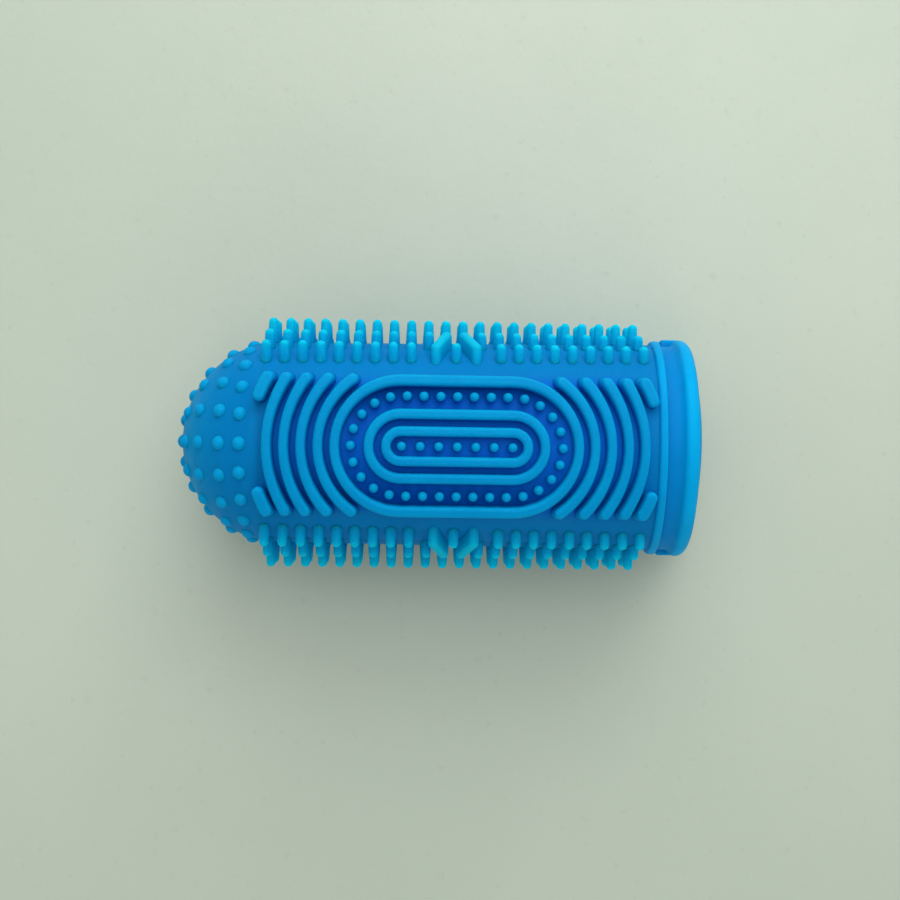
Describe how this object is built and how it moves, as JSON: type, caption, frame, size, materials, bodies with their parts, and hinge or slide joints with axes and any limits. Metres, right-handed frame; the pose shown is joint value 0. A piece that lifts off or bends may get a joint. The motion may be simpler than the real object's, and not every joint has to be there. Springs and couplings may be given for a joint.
{
  "type": "pet finger toothbrush",
  "caption": "Soft silicone finger sleeve toothbrush for pets: closed domed tip, ridged scrubbing panels, side bristles and a flared open mouth for the finger.",
  "frame": {"origin": "centre of the finger bore in the plane where the sleeve meets the cuff", "axes": "+X along the finger bore, out of the mouth; +Z towards the upper scrubbing panel; +Y to the left"},
  "size_m": [0.0643, 0.0284, 0.026],
  "materials": {
    "silicone_body": "satin",
    "silicone_bristles": "satin"
  },
  "bodies": {
    "root": {"collar_ridge": "silicone_body", "left_bristle_row_1": "silicone_bristles", "left_bristle_row_2": "silicone_bristles", "left_bristle_row_3": "silicone_bristles", "left_bristle_row_4": "silicone_bristles", "left_bristle_row_5": "silicone_bristles", "left_bristle_row_6": "silicone_bristles", "left_star_fins": "silicone_bristles", "lower_centre_bristles": "silicone_bristles", "lower_front_arc_1": "silicone_bristles", "lower_front_arc_2": "silicone_bristles", "lower_front_arc_3": "silicone_bristles", "lower_front_arc_4": "silicone_bristles", "lower_front_corner_ribs": "silicone_bristles", "lower_inner_ring": "silicone_bristles", "lower_lip": "silicone_body", "lower_middle_ring": "silicone_bristles", "lower_outer_ring": "silicone_bristles", "lower_rear_arc_1": "silicone_bristles", "lower_rear_arc_2": "silicone_bristles", "lower_rear_arc_3": "silicone_bristles", "lower_rear_arc_4": "silicone_bristles", "lower_rear_corner_ribs": "silicone_bristles", "lower_ring_bristles": "silicone_bristles", "mouth_cuff": "silicone_body", "nub_ring_1": "silicone_body", "nub_ring_2": "silicone_body", "nub_ring_3": "silicone_body", "nub_ring_4": "silicone_body", "nub_ring_5": "silicone_body", "right_bristle_row_1": "silicone_bristles", "right_bristle_row_2": "silicone_bristles", "right_bristle_row_3": "silicone_bristles", "right_bristle_row_4": "silicone_bristles", "right_bristle_row_5": "silicone_bristles", "right_bristle_row_6": "silicone_bristles", "right_star_fins": "silicone_bristles", "sleeve_wall": "silicone_body", "tip_dome": "silicone_body", "tip_nub": "silicone_body", "upper_centre_bristles": "silicone_bristles", "upper_front_arc_1": "silicone_bristles", "upper_front_arc_2": "silicone_bristles", "upper_front_arc_3": "silicone_bristles", "upper_front_arc_4": "silicone_bristles", "upper_front_corner_ribs": "silicone_bristles", "upper_inner_ring": "silicone_bristles", "upper_middle_ring": "silicone_bristles", "upper_outer_ring": "silicone_bristles", "upper_rear_arc_1": "silicone_bristles", "upper_rear_arc_2": "silicone_bristles", "upper_rear_arc_3": "silicone_bristles", "upper_rear_arc_4": "silicone_bristles", "upper_rear_corner_ribs": "silicone_bristles", "upper_ring_bristles": "silicone_bristles"}
  },
  "joints": []
}
